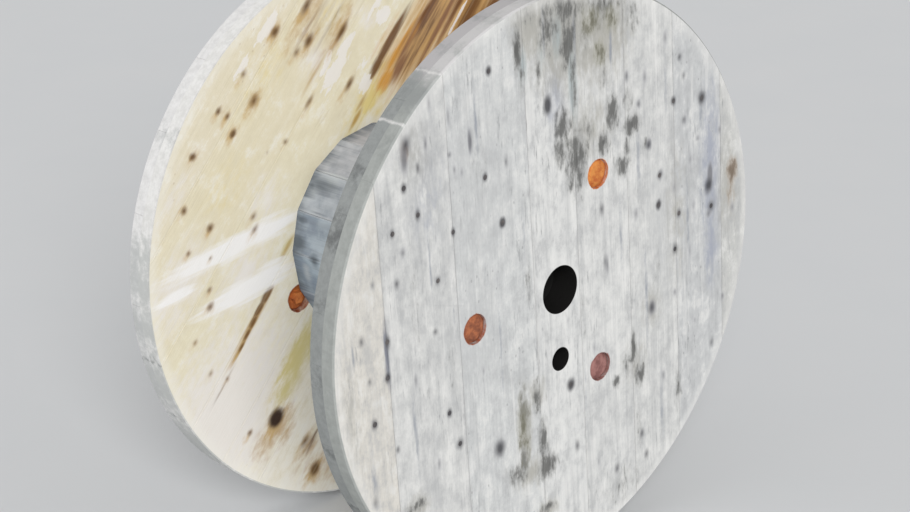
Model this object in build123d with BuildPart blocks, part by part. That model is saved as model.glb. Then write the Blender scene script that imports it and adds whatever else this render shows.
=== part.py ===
from build123d import *
from math import cos, radians, sin, tan
import os

# Wooden cable drum, standing on the rims of its two flanges, with its axis level along X.
# The origin is on the floor, midway between the flanges and under the axis.
# The near flange is at +X. Angles on both flanges are counted anticlockwise from +Y,
# as they are seen from outside the near flange.

# Flanges, in millimetres. Each is two crossed layers of boards, sawn round.
FLANGE_DIAMETER = 1000
LAYER_THICKNESS = 26
TRAVERSE = 396
RIM_CHAMFER = 3
BOARD_GAP = 0.3
BOARD_EASE = 0.5

# Where the boards of each layer meet, measured across the boards from the axis, in flange radii.
# The grain angle is the way that the boards run, and the joints are counted a quarter turn on from it.
NEAR_OUTER = {"grain": -85, "joints": (-0.776, -0.468, -0.12, 0.096, 0.352, 0.6, 0.852)}
NEAR_INNER = {"grain": 5, "joints": (-0.69, -0.43, -0.18, 0.1, 0.26, 0.538, 0.816)}
FAR_INNER = {"grain": 49, "joints": (-0.86, -0.6, -0.33, -0.1, 0.1, 0.3, 0.56, 0.82)}
FAR_OUTER = {"grain": 139, "joints": (-0.88, -0.65, -0.424, -0.1, 0.17, 0.436, 0.69)}

# Holes through the flanges
ARBOR_DIAMETER = 82
DRIVE_DIAMETER = 40
DRIVE_RADIUS = 125
NEAR_DRIVE_ANGLE = 272
FAR_DRIVE_ANGLE = 292.5

# Bolts that clamp the two layers of a flange: round heads outside, washers and nuts inside
BOLT_CIRCLE_RADIUS = 200
NEAR_BOLT_ANGLES = (64, 183.5, 302)
FAR_BOLT_ANGLES = (74, 206.4, 324)
BOLT_DIAMETER = 12
BOLT_HEAD_DIAMETER = 47
BOLT_CROWN_DIAMETER = 33
BOLT_HEAD_HEIGHT = 6
BOLT_HEAD_EDGE = 2
BOLT_NECK_WIDTH = 12
BOLT_NECK_LENGTH = 7
BOLT_END_SHOWING = 0.5
WASHER_DIAMETER = 44
WASHER_THICKNESS = 3
NUT_ACROSS_FLATS = 19
NUT_HEIGHT = 10
RECESS_CLEARANCE = 1.5
RECESS_COVER = 1
BOLT_HOLE_CLEARANCE = 0.5
NECK_CLEARANCE = 0.2
THREAD_CLEARANCE = 0.1

# Barrel of flat staves, nailed round a wooden former behind each flange
STAVE_COUNT = 16
STAVE_THICKNESS = 20
STAVE_GAP = 0.4
STAVE_EASE = 1
BARREL_RADIUS = 188
STAVE_JOINT_ANGLE = 135
FORMER_THICKNESS = 30
FORMER_CLEARANCE = 0.2

# Sizes that follow from those above
FLANGE_RADIUS = FLANGE_DIAMETER / 2
FLANGE_THICKNESS = 2 * LAYER_THICKNESS
INNER_FACE = TRAVERSE / 2
OUTER_FACE = INNER_FACE + FLANGE_THICKNESS
RECESS_RADIUS = BOLT_HEAD_DIAMETER / 2 + RECESS_CLEARANCE
HEAD_RECESS_DEPTH = BOLT_HEAD_HEIGHT + RECESS_COVER
NUT_RECESS_DEPTH = WASHER_THICKNESS + NUT_HEIGHT + RECESS_COVER
BOLT_HOLE_RADIUS = BOLT_DIAMETER / 2 + BOLT_HOLE_CLEARANCE
BOLT_SHANK_LENGTH = (
    FLANGE_THICKNESS - HEAD_RECESS_DEPTH - RECESS_COVER + BOLT_END_SHOWING
)
STAVE_INNER_RADIUS = BARREL_RADIUS - STAVE_THICKNESS
STAVE_PITCH = 360 / STAVE_COUNT
FORMER_RADIUS = STAVE_INNER_RADIUS - FORMER_CLEARANCE


def face_plane(x, facing=1, turn=0):
    """A plane square to the axis at x, looking along +X or -X, turned about the axis."""
    across = (0, cos(radians(turn)), sin(radians(turn)))
    return Plane(origin=(x, 0, FLANGE_RADIUS), x_dir=across, z_dir=(facing, 0, 0))


def around(radius, angles, facing=1):
    """Points on a circle of a plane that faces along or against the axis."""
    return [
        (radius * cos(radians(facing * angle)), radius * sin(radians(facing * angle)))
        for angle in angles
    ]


def flange_layer(side, inner, bolt_angles, drive_angle):
    """One layer of a flange as a whole disc, drilled, before it is parted into boards."""
    facing = -side if inner else side
    face = side * INNER_FACE if inner else side * OUTER_FACE
    plane = face_plane(face, facing)
    recess_depth = NUT_RECESS_DEPTH if inner else HEAD_RECESS_DEPTH
    with BuildPart() as layer:
        with BuildSketch(plane):
            Circle(FLANGE_RADIUS)
        extrude(amount=-LAYER_THICKNESS)
        if not inner:
            outline = layer.edges().sort_by(Axis.X)[-1 if facing > 0 else 0]
            chamfer(outline, length=RIM_CHAMFER)
        with Locations(plane):
            Hole(radius=ARBOR_DIAMETER / 2)
            with Locations(*around(DRIVE_RADIUS, (drive_angle,), facing)):
                Hole(radius=DRIVE_DIAMETER / 2)
            with Locations(*around(BOLT_CIRCLE_RADIUS, bolt_angles, facing)):
                CounterBoreHole(
                    radius=BOLT_HOLE_RADIUS,
                    counter_bore_radius=RECESS_RADIUS,
                    counter_bore_depth=recess_depth,
                )
        if not inner:
            with BuildSketch(plane.offset(-recess_depth)):
                with Locations(*around(BOLT_CIRCLE_RADIUS, bolt_angles, facing)):
                    Rectangle(BOLT_NECK_WIDTH + 2 * NECK_CLEARANCE, BOLT_NECK_WIDTH + 2 * NECK_CLEARANCE)
            extrude(amount=-(BOLT_NECK_LENGTH + NECK_CLEARANCE), mode=Mode.SUBTRACT)
    return layer.part


def board_spans(joints):
    """The two edges of each board, from one side of the disc to the other."""
    inside = [joint * FLANGE_RADIUS for joint in joints]
    edges = [-FLANGE_RADIUS - BOARD_GAP, *inside, FLANGE_RADIUS + BOARD_GAP]
    return list(zip(edges[:-1], edges[1:]))


def part_into_boards(name, layer, middle, facing, run):
    """Part a layer into its boards, with a narrow gap and an eased edge at every joint that shows."""
    grain = radians(run["grain"])
    end_grain = Plane(
        origin=(middle, 0, FLANGE_RADIUS),
        x_dir=(0, -sin(grain), cos(grain)),
        z_dir=(0, cos(grain), sin(grain)),
    )
    for number, (low, high) in enumerate(board_spans(run["joints"]), start=1):
        with BuildPart() as board:
            add(layer)
            with BuildSketch(end_grain):
                with Locations(((low + high) / 2, 0)):
                    section = Rectangle(high - low - BOARD_GAP, LAYER_THICKNESS)
                shown_face = Axis((0, 0, 0), (facing, 0, 0))
                shown_corners = section.vertices().sort_by(shown_face)[-2:]
                chamfer(shown_corners, length=BOARD_EASE)
            extrude(amount=FLANGE_DIAMETER, both=True, mode=Mode.INTERSECT)
        save(board.part, f"{name}_board_{number}")


def bolt():
    """A flat round-headed bolt with a square neck, its head's underside at the origin, its axis along Z."""
    with BuildPart() as body:
        with BuildSketch(Plane.XZ):
            with BuildLine():
                Polyline(
                    (0, 0),
                    (BOLT_HEAD_DIAMETER / 2, 0),
                    (BOLT_HEAD_DIAMETER / 2, BOLT_HEAD_EDGE),
                    (BOLT_CROWN_DIAMETER / 2, BOLT_HEAD_HEIGHT),
                    (0, BOLT_HEAD_HEIGHT),
                    close=True,
                )
            make_face()
        revolve(axis=Axis.Z)
        with BuildSketch(Plane.XY):
            Rectangle(BOLT_NECK_WIDTH, BOLT_NECK_WIDTH)
        extrude(amount=-BOLT_NECK_LENGTH)
        with BuildSketch(Plane.XY):
            Circle(BOLT_DIAMETER / 2)
        extrude(amount=-BOLT_SHANK_LENGTH)
    return body.part


def washer():
    """A plain washer lying on the origin, its axis along Z."""
    with BuildPart() as ring:
        with BuildSketch(Plane.XY):
            Circle(WASHER_DIAMETER / 2)
            Circle(BOLT_HOLE_RADIUS, mode=Mode.SUBTRACT)
        extrude(amount=-WASHER_THICKNESS)
    return ring.part


def nut():
    """A six-sided nut lying on the origin, its axis along Z."""
    with BuildPart() as body:
        with BuildSketch(Plane.XY):
            RegularPolygon(NUT_ACROSS_FLATS / 2, 6, major_radius=False)
            Circle(BOLT_DIAMETER / 2 + THREAD_CLEARANCE, mode=Mode.SUBTRACT)
        extrude(amount=-NUT_HEIGHT)
    return body.part


def save(piece, name):
    """Label a finished piece and write it as its own file."""
    piece.label = name
    export_step(piece, f"parts/{name}.step")


def save_fasteners(flange, side, bolt_angles):
    """The bolts of one flange, with their washers and nuts, each kind in its own file."""
    depths = {
        "bolts": (bolt(), HEAD_RECESS_DEPTH),
        "washers": (washer(), FLANGE_THICKNESS - NUT_RECESS_DEPTH),
        "nuts": (nut(), FLANGE_THICKNESS - NUT_RECESS_DEPTH + WASHER_THICKNESS),
    }
    for kind, (piece, depth) in depths.items():
        with BuildPart() as ring:
            with Locations(face_plane(side * OUTER_FACE, side).offset(-depth)):
                with Locations(*around(BOLT_CIRCLE_RADIUS, bolt_angles, side)):
                    add(piece)
        save(ring.part, f"{flange}_{kind}")


def save_flange(flange, side, outer, inner, bolt_angles, drive_angle):
    """All the pieces of one flange."""
    half_layer = LAYER_THICKNESS / 2
    outer_layer = flange_layer(side, False, bolt_angles, drive_angle)
    inner_layer = flange_layer(side, True, bolt_angles, drive_angle)
    part_into_boards(f"{flange}_outer", outer_layer, side * (OUTER_FACE - half_layer), side, outer)
    part_into_boards(f"{flange}_inner", inner_layer, side * (INNER_FACE + half_layer), -side, inner)
    save_fasteners(flange, side, bolt_angles)


def save_former(flange, side, drive_angle):
    """The block behind a flange that the stave ends are nailed to, with a flat under each stave."""
    plane = face_plane(side * INNER_FACE, side)
    with BuildPart() as former:
        with BuildSketch(plane):
            RegularPolygon(FORMER_RADIUS, STAVE_COUNT, major_radius=False, rotation=side * STAVE_JOINT_ANGLE)
            Circle(ARBOR_DIAMETER / 2, mode=Mode.SUBTRACT)
            with Locations(*around(DRIVE_RADIUS, (drive_angle,), side)):
                Circle(DRIVE_DIAMETER / 2, mode=Mode.SUBTRACT)
        extrude(amount=-FORMER_THICKNESS)
    save(former.part, f"{flange}_former")


def save_staves():
    """The flat boards of the barrel, with bevelled edges that meet in a closed ring."""
    half_angle = radians(STAVE_PITCH / 2)
    outer_half = BARREL_RADIUS * tan(half_angle) - STAVE_GAP / 2
    inner_half = STAVE_INNER_RADIUS * tan(half_angle) - STAVE_GAP / 2
    for number in range(STAVE_COUNT):
        middle = STAVE_JOINT_ANGLE + (number + 0.5) * STAVE_PITCH
        with BuildPart() as stave:
            with BuildSketch(face_plane(-INNER_FACE, turn=middle)) as section:
                with BuildLine():
                    Polyline(
                        (STAVE_INNER_RADIUS, -inner_half),
                        (BARREL_RADIUS, -outer_half),
                        (BARREL_RADIUS, outer_half),
                        (STAVE_INNER_RADIUS, inner_half),
                        close=True,
                    )
                make_face()
                outer_corners = section.vertices().group_by(Axis.X)[-1]
                chamfer(outer_corners, length=STAVE_EASE)
            extrude(amount=TRAVERSE)
        save(stave.part, f"stave_{number + 1:02d}")


os.makedirs("parts", exist_ok=True)
save_flange("near", 1, NEAR_OUTER, NEAR_INNER, NEAR_BOLT_ANGLES, NEAR_DRIVE_ANGLE)
save_flange("far", -1, FAR_OUTER, FAR_INNER, FAR_BOLT_ANGLES, FAR_DRIVE_ANGLE)
save_former("near", 1, NEAR_DRIVE_ANGLE)
save_former("far", -1, FAR_DRIVE_ANGLE)
save_staves()
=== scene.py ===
# %% [markdown]
# # A weathered wooden cable drum
#
# The drum stands on the rims of its two flanges, with its axis level along X.
# Each flange is two crossed layers of boards. A barrel of narrow staves joins them.
# The CAD model already holds every board, stave and bolt at its real size, so this lesson
# is mostly about finish: old wood, worn whitewash, dirt, rust and nails.

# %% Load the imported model
import math
import random

import bmesh
import bpy
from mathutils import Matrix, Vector


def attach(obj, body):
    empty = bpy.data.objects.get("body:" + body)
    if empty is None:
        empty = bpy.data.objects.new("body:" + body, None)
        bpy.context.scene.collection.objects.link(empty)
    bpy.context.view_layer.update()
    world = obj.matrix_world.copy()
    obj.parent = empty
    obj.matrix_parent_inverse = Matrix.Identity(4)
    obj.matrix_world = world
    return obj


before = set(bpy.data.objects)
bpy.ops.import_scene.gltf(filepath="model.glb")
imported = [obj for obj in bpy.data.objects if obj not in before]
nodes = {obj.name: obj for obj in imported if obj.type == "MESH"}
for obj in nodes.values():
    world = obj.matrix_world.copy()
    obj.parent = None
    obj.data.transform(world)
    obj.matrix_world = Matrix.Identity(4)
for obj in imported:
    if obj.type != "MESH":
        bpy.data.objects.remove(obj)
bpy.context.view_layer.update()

# %% [markdown]
# ## Sizes that the finishes need
#
# The patterns on the wood follow the boards, so the script needs to know which way each layer's
# boards run and where they meet. The angles are counted anticlockwise from +Y, as seen from
# outside the near flange. The joints are measured across the boards, from the axis.

# %% Sizes of the drum, in metres and degrees
AXIS_HEIGHT = 0.5
RADIUS = 0.5
OUTER_FACE = 0.25
ARBOR_RADIUS = 0.041
DRIVE_HOLE_RADIUS = 0.02
DRIVE_HOLES = {"near": (0.125, 272), "far": (0.125, 292.5)}
BOLT_CIRCLE = 0.2
BOLT_ANGLES = {"near": (64, 183.5, 302), "far": (74, 206.4, 324)}

LAYERS = {
    "near_outer": {"grain": -85, "joints": (-0.388, -0.234, -0.06, 0.048, 0.176, 0.3, 0.426)},
    "near_inner": {"grain": 5, "joints": (-0.345, -0.215, -0.09, 0.05, 0.13, 0.269, 0.408)},
    "far_inner": {"grain": 49, "joints": (-0.43, -0.3, -0.165, -0.05, 0.05, 0.15, 0.28, 0.41)},
    "far_outer": {"grain": 139, "joints": (-0.44, -0.325, -0.212, -0.05, 0.085, 0.218, 0.345)},
}


def polar(radius, angle):
    """The (y, z) of a point at an angle round the axis."""
    turn = math.radians(angle)
    return radius * math.cos(turn), radius * math.sin(turn)


def board_place(turn, y, z):
    """How far a point lies along and across boards that run at an angle."""
    turn = math.radians(turn)
    return y * math.cos(turn) + z * math.sin(turn), z * math.cos(turn) - y * math.sin(turn)


def board_span(layer, number):
    """The two edges of a board, measured across its layer."""
    edges = (-RADIUS, *LAYERS[layer]["joints"], RADIUS)
    return edges[number - 1], edges[number]


def holes_of(layer):
    """The drive hole and the bolts of a layer, as places along and across its boards."""
    flange, grain = layer.split("_")[0], LAYERS[layer]["grain"]
    radius, drive_angle = DRIVE_HOLES[flange]
    bolts = [polar(BOLT_CIRCLE, angle - grain) for angle in BOLT_ANGLES[flange]]
    return polar(radius, drive_angle - grain), bolts


# %% [markdown]
# ## The camera
#
# The photograph looks down on the drum from the left front. The camera stands where that view
# puts it. A long lens keeps the two flanges nearly the same size.

# %% Camera
camera_data = bpy.data.cameras.new("camera")
camera_data.sensor_width = 36
camera_data.lens = 81.13
camera = bpy.data.objects.new("camera", camera_data)
camera.location = (2.34047, -2.349, 1.71707)
looking = Vector((-0.66125, 0.66555, -0.3461))
camera.rotation_mode = "QUATERNION"
camera.rotation_quaternion = looking.to_track_quat("-Z", "Y")
bpy.context.scene.collection.objects.link(camera)
bpy.context.scene.camera = camera
print("camera at", tuple(round(v, 2) for v in camera.location))

# %% [markdown]
# ## Small tools for building materials
#
# Every finish here is a network of shader nodes. Writing each node and link by hand hides the
# idea behind the finish, so a small class adds a node, sets it and links it in one call.

# %% A short way to write shader nodes


class Network:
    """Short ways to add nodes to a tree. Most calls return the new node's output."""

    def __init__(self, tree):
        self.tree = tree

    def give(self, socket, value):
        if isinstance(value, bpy.types.NodeSocket):
            self.tree.links.new(value, socket)
        else:
            socket.default_value = value

    def node(self, kind, settings=None, **inputs):
        made = self.tree.nodes.new(kind)
        for key, value in (settings or {}).items():
            setattr(made, key, value)
        for key, value in inputs.items():
            self.give(made.inputs[key.replace("_", " ")], value)
        return made

    def filled(self, kind, settings, values):
        """Adds a node and fills its first sockets in order."""
        made = self.node(kind, settings)
        for socket, value in zip(made.inputs, values):
            self.give(socket, value)
        return made.outputs

    def math(self, operation, *values):
        return self.filled("ShaderNodeMath", {"operation": operation}, values)[0]

    def vector(self, operation, *values):
        made = self.filled("ShaderNodeVectorMath", {"operation": operation}, values)
        return made["Value" if operation == "LENGTH" else "Vector"]

    def scale(self, value, by, plus=0.0):
        return self.math("MULTIPLY_ADD", value, by, plus)

    def distance(self, place, centre, reach):
        """How far a place is from a centre, counted in reaches along each axis."""
        offset = self.vector("SUBTRACT", place, centre)
        return self.vector("LENGTH", self.vector("MULTIPLY", offset, reach))

    def axis(self, vector, name):
        return self.node("ShaderNodeSeparateXYZ", Vector=vector).outputs[name]

    def noise(self, place, scale, detail=2.0, roughness=0.5):
        """A scale of three numbers draws the noise out, such as along the grain."""
        if isinstance(scale, tuple):
            place, scale = self.vector("MULTIPLY", place, scale), 1.0
        made = self.node(
            "ShaderNodeTexNoise", Vector=place, Scale=scale, Detail=detail, Roughness=roughness
        )
        return made.outputs["Fac"]

    def stretch(self, *value_and_range):
        """Maps low..high smoothly to start..end (0..1 if not given), and holds the ends."""
        smooth = {"interpolation_type": "SMOOTHSTEP"}
        return self.filled("ShaderNodeMapRange", smooth, value_and_range)[0]

    def mix(self, amount, first, second):
        made = self.node("ShaderNodeMix", {"data_type": "RGBA"})
        self.give(made.inputs["Factor"], amount)
        self.give(made.inputs["A"], first)
        self.give(made.inputs["B"], second)
        return made.outputs["Result"]

    def stain(self, finish, value, span, most, tint):
        """Tints a finish where a value crosses a span, up to a strength of most."""
        return self.mix(self.stretch(value, *span, 0.0, most), finish, colour(*tint))

    def ring_lines(self, finish, rings, power, most, tint):
        """Tints a finish along the yearly rings. A high power leaves thin lines."""
        lines = self.scale(self.math("POWER", rings, power), most)
        return self.mix(lines, finish, colour(*tint))


class Shader(Network):
    """The network of a new material."""

    def __init__(self, name):
        self.material = bpy.data.materials.new(name)
        self.material.use_nodes = True
        super().__init__(self.material.node_tree)

    def complete(self, finish, grain, rough, height, bump, specular=0.5):
        """Gives the surface its colour, a roughness that follows the grain, and its relief."""
        strength, distance = bump
        relief = self.node("ShaderNodeBump", Height=height, Strength=strength, Distance=distance)
        surface = self.tree.nodes["Principled BSDF"].inputs
        self.give(surface["Base Color"], finish)
        self.give(surface["Roughness"], self.stretch(grain, 0.3, 0.7, *rough))
        self.give(surface["Specular IOR Level"], specular)
        self.give(surface["Normal"], relief.outputs["Normal"])
        return self.material


def colour(red, green, blue):
    """A shader colour from the 0..255 values that a colour picker shows."""
    linear = []
    for part in (red, green, blue):
        part /= 255
        linear.append(part / 12.92 if part <= 0.04045 else ((part + 0.055) / 1.055) ** 2.4)
    return (*linear, 1.0)


def dress(name, material):
    """Swaps a CAD node's plain material for a better one."""
    nodes[name].data.materials.clear()
    nodes[name].data.materials.append(material)


print("a mid grey of 188 is", round(colour(188, 188, 188)[0], 2), "in the shader")

# %% [markdown]
# ## Wood that is cut from a log
#
# A board is a slice of a log, and its grain is where the slice cuts the yearly rings. So the
# rings can be built once, as cylinders round a heart line that runs along the board. The flat
# face then shows long streaks, and the sawn end shows arcs, with no extra work.
# One board coordinate serves everything: depth through the layer, along the board, across it.

# %% Wood coordinates and grain
RING_WIDTH = 0.0065
RING_WANDER = 0.05


def board_coordinates(shader, turn):
    """Coordinates in metres from the drum's centre: depth, along the grain, across the grain."""
    place = shader.node("ShaderNodeTexCoord").outputs["Object"]
    centred = shader.vector("SUBTRACT", place, (0.0, 0.0, AXIS_HEIGHT))
    turned = (-math.radians(turn), 0.0, 0.0)
    return shader.node("ShaderNodeMapping", Vector=centred, Rotation=turned).outputs[0]


def wood_grain(shader, coordinates, seed, heart):
    """Growth rings, fine fibre and broad streaks of one board, each 0..1."""
    moved = shader.vector("ADD", coordinates, (seed * 1.7, seed * 3.1, seed * 0.9))
    wander = shader.noise(moved, (9.0, 1.1, 9.0))
    from_heart = shader.distance(coordinates, (heart[0], 0.0, heart[1]), (1.0, 0.0, 1.0))
    ring = shader.scale(wander, RING_WANDER, from_heart)
    phase = shader.scale(ring, 2 * math.pi / RING_WIDTH)
    rings = shader.scale(shader.math("SINE", phase), 0.5, 0.5)
    fibre = shader.noise(moved, (700.0, 16.0, 700.0), 3.0, 0.6)
    streaks = shader.noise(moved, (60.0, 3.0, 60.0), 4.0, 0.62)
    return rings, fibre, streaks


print("wood tools ready, rings", RING_WIDTH * 1000, "mm apart")

# %% [markdown]
# ## Marks that sit in one place
#
# Knots, nail stains and dirt aren't spread evenly: each has a place, and the eye remembers it.
# A mark is an ellipse in board coordinates, longer along the grain than across it. A small node
# group measures how far inside the ellipse a point lies and keeps the strongest mark so far,
# so that any number of marks can be chained into one mask.

# %% The mark node group
mark_group = bpy.data.node_groups.new("mark", "ShaderNodeTree")
for socket in ("Place", "Centre", "Reach"):
    mark_group.interface.new_socket(socket, in_out="INPUT", socket_type="NodeSocketVector")
for socket in ("Amount", "So Far"):
    mark_group.interface.new_socket(socket, in_out="INPUT", socket_type="NodeSocketFloat")
mark_group.interface.new_socket("Mark", in_out="OUTPUT", socket_type="NodeSocketFloat")


def fill_mark_group(tree):
    """So Far or Amount * (1 - distance in reaches), whichever is more."""
    network = Network(tree)
    given = network.node("NodeGroupInput").outputs
    reaches = network.distance(given["Place"], given["Centre"], given["Reach"])
    strength = network.scale(network.math("SUBTRACT", 1.0, reaches), given["Amount"])
    network.node("NodeGroupOutput", Mark=network.math("MAXIMUM", strength, given["So Far"]))


fill_mark_group(mark_group)
print("mark group has", len(mark_group.nodes), "nodes")

# %% Masks of marks, each mark (y, z, half length, half width, amount) in millimetres
SCATTER_RADIUS = 480


def marks_on(layer, number, marks):
    """Those of a layer's marks that reach this board."""
    low, high = board_span(layer, number)
    near = []
    for mark in marks:
        across = board_place(LAYERS[layer]["grain"], mark[0], mark[1])[1] / 1000
        reach = max(mark[2], mark[3]) / 1000
        if low - reach < across < high + reach:
            near.append(mark)
    return near


def marks_mask(shader, place, turn, marks):
    """One mask of several marks."""
    so_far = 0.0
    for y, z, half_length, half_width, amount in marks:
        along, across = board_place(turn, y, z)
        group = shader.node(
            "ShaderNodeGroup",
            {"node_tree": mark_group},
            Place=place,
            Centre=(0.0, along / 1000, across / 1000),
            Reach=(0.0, 1000 / half_length, 1000 / half_width),
            Amount=amount,
            So_Far=so_far,
        )
        so_far = group.outputs[0]
    return so_far


def larger(marks, times):
    """The same marks with a wider reach, such as the stain round a nail."""
    return [(y, z, length * times, width * times, amount) for y, z, length, width, amount in marks]


def scattered(seed, count, size, amount):
    """Marks strewn over a face that the photograph doesn't show."""
    chance = random.Random(seed)
    marks = []
    for _ in range(count):
        place = polar(SCATTER_RADIUS * math.sqrt(chance.random()), chance.uniform(0, 360))
        lengths = (chance.uniform(0.5, 1.0) * size, chance.uniform(0.2, 0.4) * size)
        marks.append((*place, *lengths, amount))
    return marks


print("mask tools ready")

# %% [markdown]
# ## What the marks are and where they lie
#
# These lists were read off the drum: where the nail stains and knots are, where dirt has
# gathered, and where something brown has run down the inside of the far flange. Each entry is
# (y, z from the axis, half length, half width, strength), in millimetres.

# %% Marks on the near flange
NEAR_SPOTS = [
    (-173, 403, 10, 7, 1.0), (-139, 151, 11, 8, 1.2), (-179, 235, 10, 7, 0.8), (-249, 163, 9, 6, 0.8),
    (-282, 92, 10, 7, 0.7), (-324, 209, 13, 7, 0.8), (-324, 283, 13, 6, 0.6), (-349, 325, 20, 13, 0.7),
    (-353, 258, 11, 7, 0.8), (-377, 192, 11, 6, 0.7), (-369, 110, 11, 7, 0.6), (-390, 22, 15, 7, 0.8),
    (-390, -37, 11, 7, 0.9), (-419, 122, 11, 7, 0.5), (-443, 37, 11, 7, 0.6), (-427, -33, 9, 6, 0.5),
    (-418, -106, 12, 8, 0.8), (-288, 9, 9, 7, 0.6), (-257, -139, 10, 7, 0.9), (-233, -200, 12, 10, 0.7),
    (-370, -165, 9, 6, 0.6), (-140, -240, 18, 15, 0.9), (52, -300, 15, 8, 0.6), (32, -180, 14, 11, 1.1),
    (-132, 250, 13, 6, 0.5), (-210, 300, 22, 6, 0.4), (278, 265, 10, 8, 0.9), (248, 87, 11, 8, 1.1),
    (305, 58, 11, 8, 0.7), (298, -6, 13, 9, 0.7), (216, 200, 11, 8, 0.6), (248, 140, 11, 9, 0.7),
    (100, 115, 15, 9, 0.6), (355, 255, 15, 12, 0.9), (290, 338, 10, 8, 0.6), (303, 305, 10, 7, 0.5),
    (308, 225, 10, 7, 0.5), (240, -100, 15, 12, 0.6), (225, -335, 13, 8, 0.6), (240, -380, 13, 8, 0.6),
    (160, -380, 13, 9, 0.6), (415, -215, 15, 10, 0.5), (385, 90, 18, 14, 0.9), (395, 50, 14, 12, 0.7),
    (-38, 322, 18, 10, 1.1), (112, 20, 20, 6, 0.5), (-75, 10, 18, 7, 0.4), (-420, -240, 13, 8, 0.6),
    (-60, -420, 10, 8, 0.7), (-180, -400, 10, 8, 0.8), (60, -440, 12, 9, 0.6), (-300, -350, 11, 8, 0.7),
]
NEAR_FAINT = [
    (251, 143, 15, 9, 0.6), (290, 107, 22, 12, 0.5), (312, 225, 18, 8, 0.6), (409, 187, 16, 10, 0.6),
    (200, 322, 22, 9, 0.6), (153, 332, 18, 9, 0.8), (186, 279, 14, 10, 0.8), (217, 202, 16, 11, 0.9),
    (241, -100, 22, 15, 0.9), (389, 37, 14, 14, 0.7), (457, 32, 20, 12, 0.6), (441, -133, 14, 9, 0.7),
    (349, 185, 12, 10, 0.6), (118, 12, 34, 7, 0.7), (302, -88, 14, 10, 0.6), (363, -158, 14, 9, 0.5),
    (189, 86, 22, 12, 0.6), (-307, 317, 22, 7, 0.7), (-257, 289, 11, 9, 0.7), (-213, 300, 30, 6, 1.0),
    (-356, 157, 16, 11, 0.7), (-352, 300, 34, 12, 0.9), (-246, 262, 16, 7, 0.6),
    (388, 110, 34, 11, 1.2), (-300, 380, 26, 8, 0.6), (-260, 350, 30, 7, 0.6), (-230, 255, 16, 8, 0.5),
    (340, -20, 26, 8, 0.5), (-150, 60, 24, 7, 0.4), (-330, -60, 24, 8, 0.6), (-280, -220, 22, 8, 0.6),
    (-180, -90, 16, 7, 0.5), (20, -60, 22, 6, 0.4), (90, -130, 20, 8, 0.5), (280, -240, 20, 9, 0.6),
    (110, -350, 22, 8, 0.5), (345, 60, 26, 9, 0.5), (330, 150, 24, 9, 0.5), (250, 380, 24, 9, 0.6),
    (-370, -300, 24, 10, 0.7),
]
NEAR_LINES = [
    (-393, 5, 66, 6, 1.3), (-461, 20, 34, 5, 0.9), (-300, 120, 90, 5, 0.6), (-330, -150, 120, 6, 0.6),
    (-250, 40, 80, 4, 0.5), (-140, -60, 120, 5, 0.5), (225, -80, 140, 7, 0.7), (330, 40, 130, 7, 0.6),
    (355, 230, 60, 8, 0.7), (150, 60, 120, 6, 0.5), (-200, 330, 90, 6, 0.8), (-90, 120, 90, 4, 0.4),
    (280, -300, 110, 7, 0.6), (70, -200, 120, 6, 0.4), (-420, -200, 90, 7, 0.6), (190, 180, 90, 7, 0.6),
    (110, 390, 70, 6, 0.9), (20, 420, 70, 7, 0.9), (-50, 440, 60, 7, 0.9), (255, 300, 90, 7, 0.5),
]
NEAR_SPLIT = [
    (-392, 6, 84, 9, 0.95), (-393, -20, 30, 6, 0.8), (-352, 318, 30, 12, 0.8), (-213, 300, 34, 6, 0.9),
]
NEAR_CRACKS = [(-290, 53, 150, 5, 0.3)]
NEAR_VEIL = [
    (0, 440, 150, 120, 1.2), (90, 420, 120, 100, 1.1), (-82, 462, 90, 60, 1.2),
    (-330, 300, 100, 60, 0.5), (60, 390, 60, 70, 1.0), (60, 260, 90, 90, 0.7),
    (-82, -220, 110, 26, 1.2), (-54, -170, 40, 40, 0.9), (-60, -310, 40, 70, 0.9),
    (200, -190, 70, 60, 0.5), (-20, -395, 30, 40, 1.0), (-328, -278, 34, 40, 0.9),
    (440, 80, 120, 50, 0.7), (-465, -90, 180, 30, 0.5), (240, -100, 60, 40, 0.7),
    (300, 60, 200, 50, 0.5),
]
NEAR_GREEN = [
    (-98, 397, 50, 14, 0.9), (-52, 405, 50, 16, 0.6), (20, 345, 100, 16, 1.1), (-20, 436, 60, 26, 0.6),
]
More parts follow.
